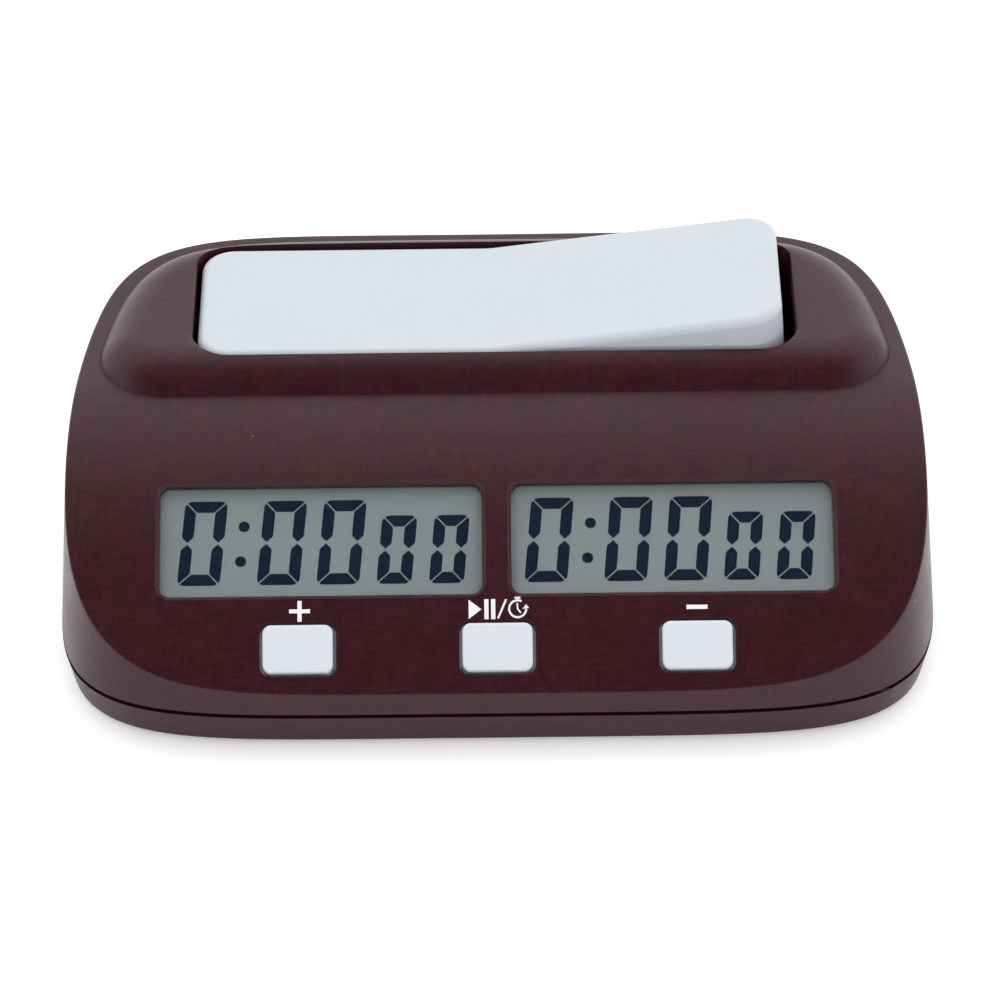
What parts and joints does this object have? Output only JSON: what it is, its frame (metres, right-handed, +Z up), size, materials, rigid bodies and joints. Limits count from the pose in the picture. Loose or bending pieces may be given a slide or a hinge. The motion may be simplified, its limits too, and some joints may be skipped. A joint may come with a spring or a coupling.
{
  "type": "chess clock",
  "caption": "Desktop digital chess clock: sloping maroon case, white see-saw rocker in a raised pod, two segment displays and three keys.",
  "frame": {"origin": "centre of the footprint, on the surface that the feet stand on", "axes": "+X to the right along the width, +Y from the front edge to the back, +Z up"},
  "size_m": [0.158, 0.102, 0.053],
  "materials": {
    "case_maroon": "satin, fine grain",
    "base_maroon": "satin, fine grain",
    "rocker_white": "satin, cool white",
    "key_white": "satin, cool white",
    "window_clear": "clear, polished",
    "lcd_glass": "grey-green liquid crystal glass",
    "frame_white": "moulded",
    "zebra_rubber": "layered conductive rubber",
    "board_green": "circuit board with solder mask",
    "epoxy_black": "cured epoxy",
    "component_metal": "plain metal",
    "component_brown": "ceramic component",
    "component_black": "component body",
    "switch_black": "moulded switch",
    "stem_white": "moulded switch stem",
    "steel": "plated",
    "screw_steel": "zinc plated",
    "spring_steel": "nickel plated",
    "battery_wrap": "printed sleeve",
    "brass": "rolled sheet",
    "ceramic_white": "silvered ceramic",
    "foot_rubber": "soft black rubber",
    "lead_red": "insulated lead",
    "lead_black": "insulated lead",
    "lead_white": "insulated lead"
  },
  "bodies": {
    "case": {"upper_case": "case_maroon", "lower_case": "base_maroon", "rocker_pivot_pin": "steel", "rocker_switch_board": "board_green", "rocker_switch_bodies": "switch_black", "switch_board_screws": "screw_steel", "left_window_lens": "window_clear", "right_window_lens": "window_clear", "left_lcd": "lcd_glass", "right_lcd": "lcd_glass", "left_zebra_strip": "zebra_rubber", "right_zebra_strip": "zebra_rubber", "lcd_holder": "frame_white", "main_board": "board_green", "board_screws": "screw_steel", "controller_blob": "epoxy_black", "clock_crystal": "component_metal", "capacitors": "component_brown", "resistors": "component_black", "key_switch_bodies": "switch_black", "battery_cell": "battery_wrap", "battery_positive_contact": "spring_steel", "battery_negative_contact": "spring_steel", "battery_spring": "spring_steel", "sounder_plate": "brass", "sounder_ceramic": "ceramic_white", "power_switch_body": "steel", "case_screws": "screw_steel", "front_left_foot": "foot_rubber", "front_right_foot": "foot_rubber", "rear_left_foot": "foot_rubber", "rear_right_foot": "foot_rubber", "positive_lead": "lead_red", "power_lead": "lead_red", "negative_lead": "lead_black", "sounder_leads": "lead_white", "rocker_switch_leads": "lead_white"},
    "rocker": {"rocker": "rocker_white"},
    "left_rocker_plunger": {"left_rocker_plunger": "stem_white"},
    "right_rocker_plunger": {"right_rocker_plunger": "stem_white"},
    "plus_button": {"plus_button": "key_white"},
    "play_pause_button": {"play_pause_button": "key_white"},
    "minus_button": {"minus_button": "key_white"},
    "plus_switch_stem": {"plus_switch_stem": "stem_white"},
    "play_pause_switch_stem": {"play_pause_switch_stem": "stem_white"},
    "minus_switch_stem": {"minus_switch_stem": "stem_white"},
    "battery_door": {"battery_door": "base_maroon"},
    "power_switch_knob": {"power_switch_knob": "switch_black"}
  },
  "joints": [
    {"name": "rocker_swing", "type": "hinge", "parent": "case", "child": "rocker", "pos_m": [0, 0.0223, 0.034], "axis": [0, 1, 0], "range_deg": [0, 7.4]},
    {"name": "left_plunger_slide", "type": "slide", "parent": "case", "child": "left_rocker_plunger", "axis": [0, 0, 1], "range_m": [0, 0.0003]},
    {"name": "right_plunger_slide", "type": "slide", "parent": "case", "child": "right_rocker_plunger", "axis": [0, 0, -1], "range_m": [0, 0.0003]},
    {"name": "plus_press", "type": "slide", "parent": "case", "child": "plus_button", "axis": [0, 0.5541, -0.8324], "range_m": [0, 0.0005], "stiffness_N_per_m": 2000, "springref_m": -0.0003},
    {"name": "plus_stem_slide", "type": "slide", "parent": "case", "child": "plus_switch_stem", "axis": [0, 0.5541, -0.8324], "range_m": [0, 0.0005]},
    {"name": "play_pause_press", "type": "slide", "parent": "case", "child": "play_pause_button", "axis": [0, 0.5541, -0.8324], "range_m": [0, 0.0005], "stiffness_N_per_m": 2000, "springref_m": -0.0003},
    {"name": "play_pause_stem_slide", "type": "slide", "parent": "case", "child": "play_pause_switch_stem", "axis": [0, 0.5541, -0.8324], "range_m": [0, 0.0005]},
    {"name": "minus_press", "type": "slide", "parent": "case", "child": "minus_button", "axis": [0, 0.5541, -0.8324], "range_m": [0, 0.0005], "stiffness_N_per_m": 2000, "springref_m": -0.0003},
    {"name": "minus_stem_slide", "type": "slide", "parent": "case", "child": "minus_switch_stem", "axis": [0, 0.5541, -0.8324], "range_m": [0, 0.0005]},
    {"name": "battery_door_swing", "type": "hinge", "parent": "case", "child": "battery_door", "pos_m": [0, 0.0025, 0.001], "axis": [1, 0, 0], "range_deg": [-90, 0]},
    {"name": "power_slide", "type": "slide", "parent": "case", "child": "power_switch_knob", "axis": [1, 0, 0], "range_m": [0, 0.0025]}
  ],
  "couplings": [
    {"joint": "left_plunger_slide", "follows": "rocker_swing", "m_per_rad": 0.0023226},
    {"joint": "right_plunger_slide", "follows": "rocker_swing", "m_per_rad": 0.0023226},
    {"joint": "plus_stem_slide", "follows": "plus_press", "ratio": 1},
    {"joint": "play_pause_stem_slide", "follows": "play_pause_press", "ratio": 1},
    {"joint": "minus_stem_slide", "follows": "minus_press", "ratio": 1}
  ]
}
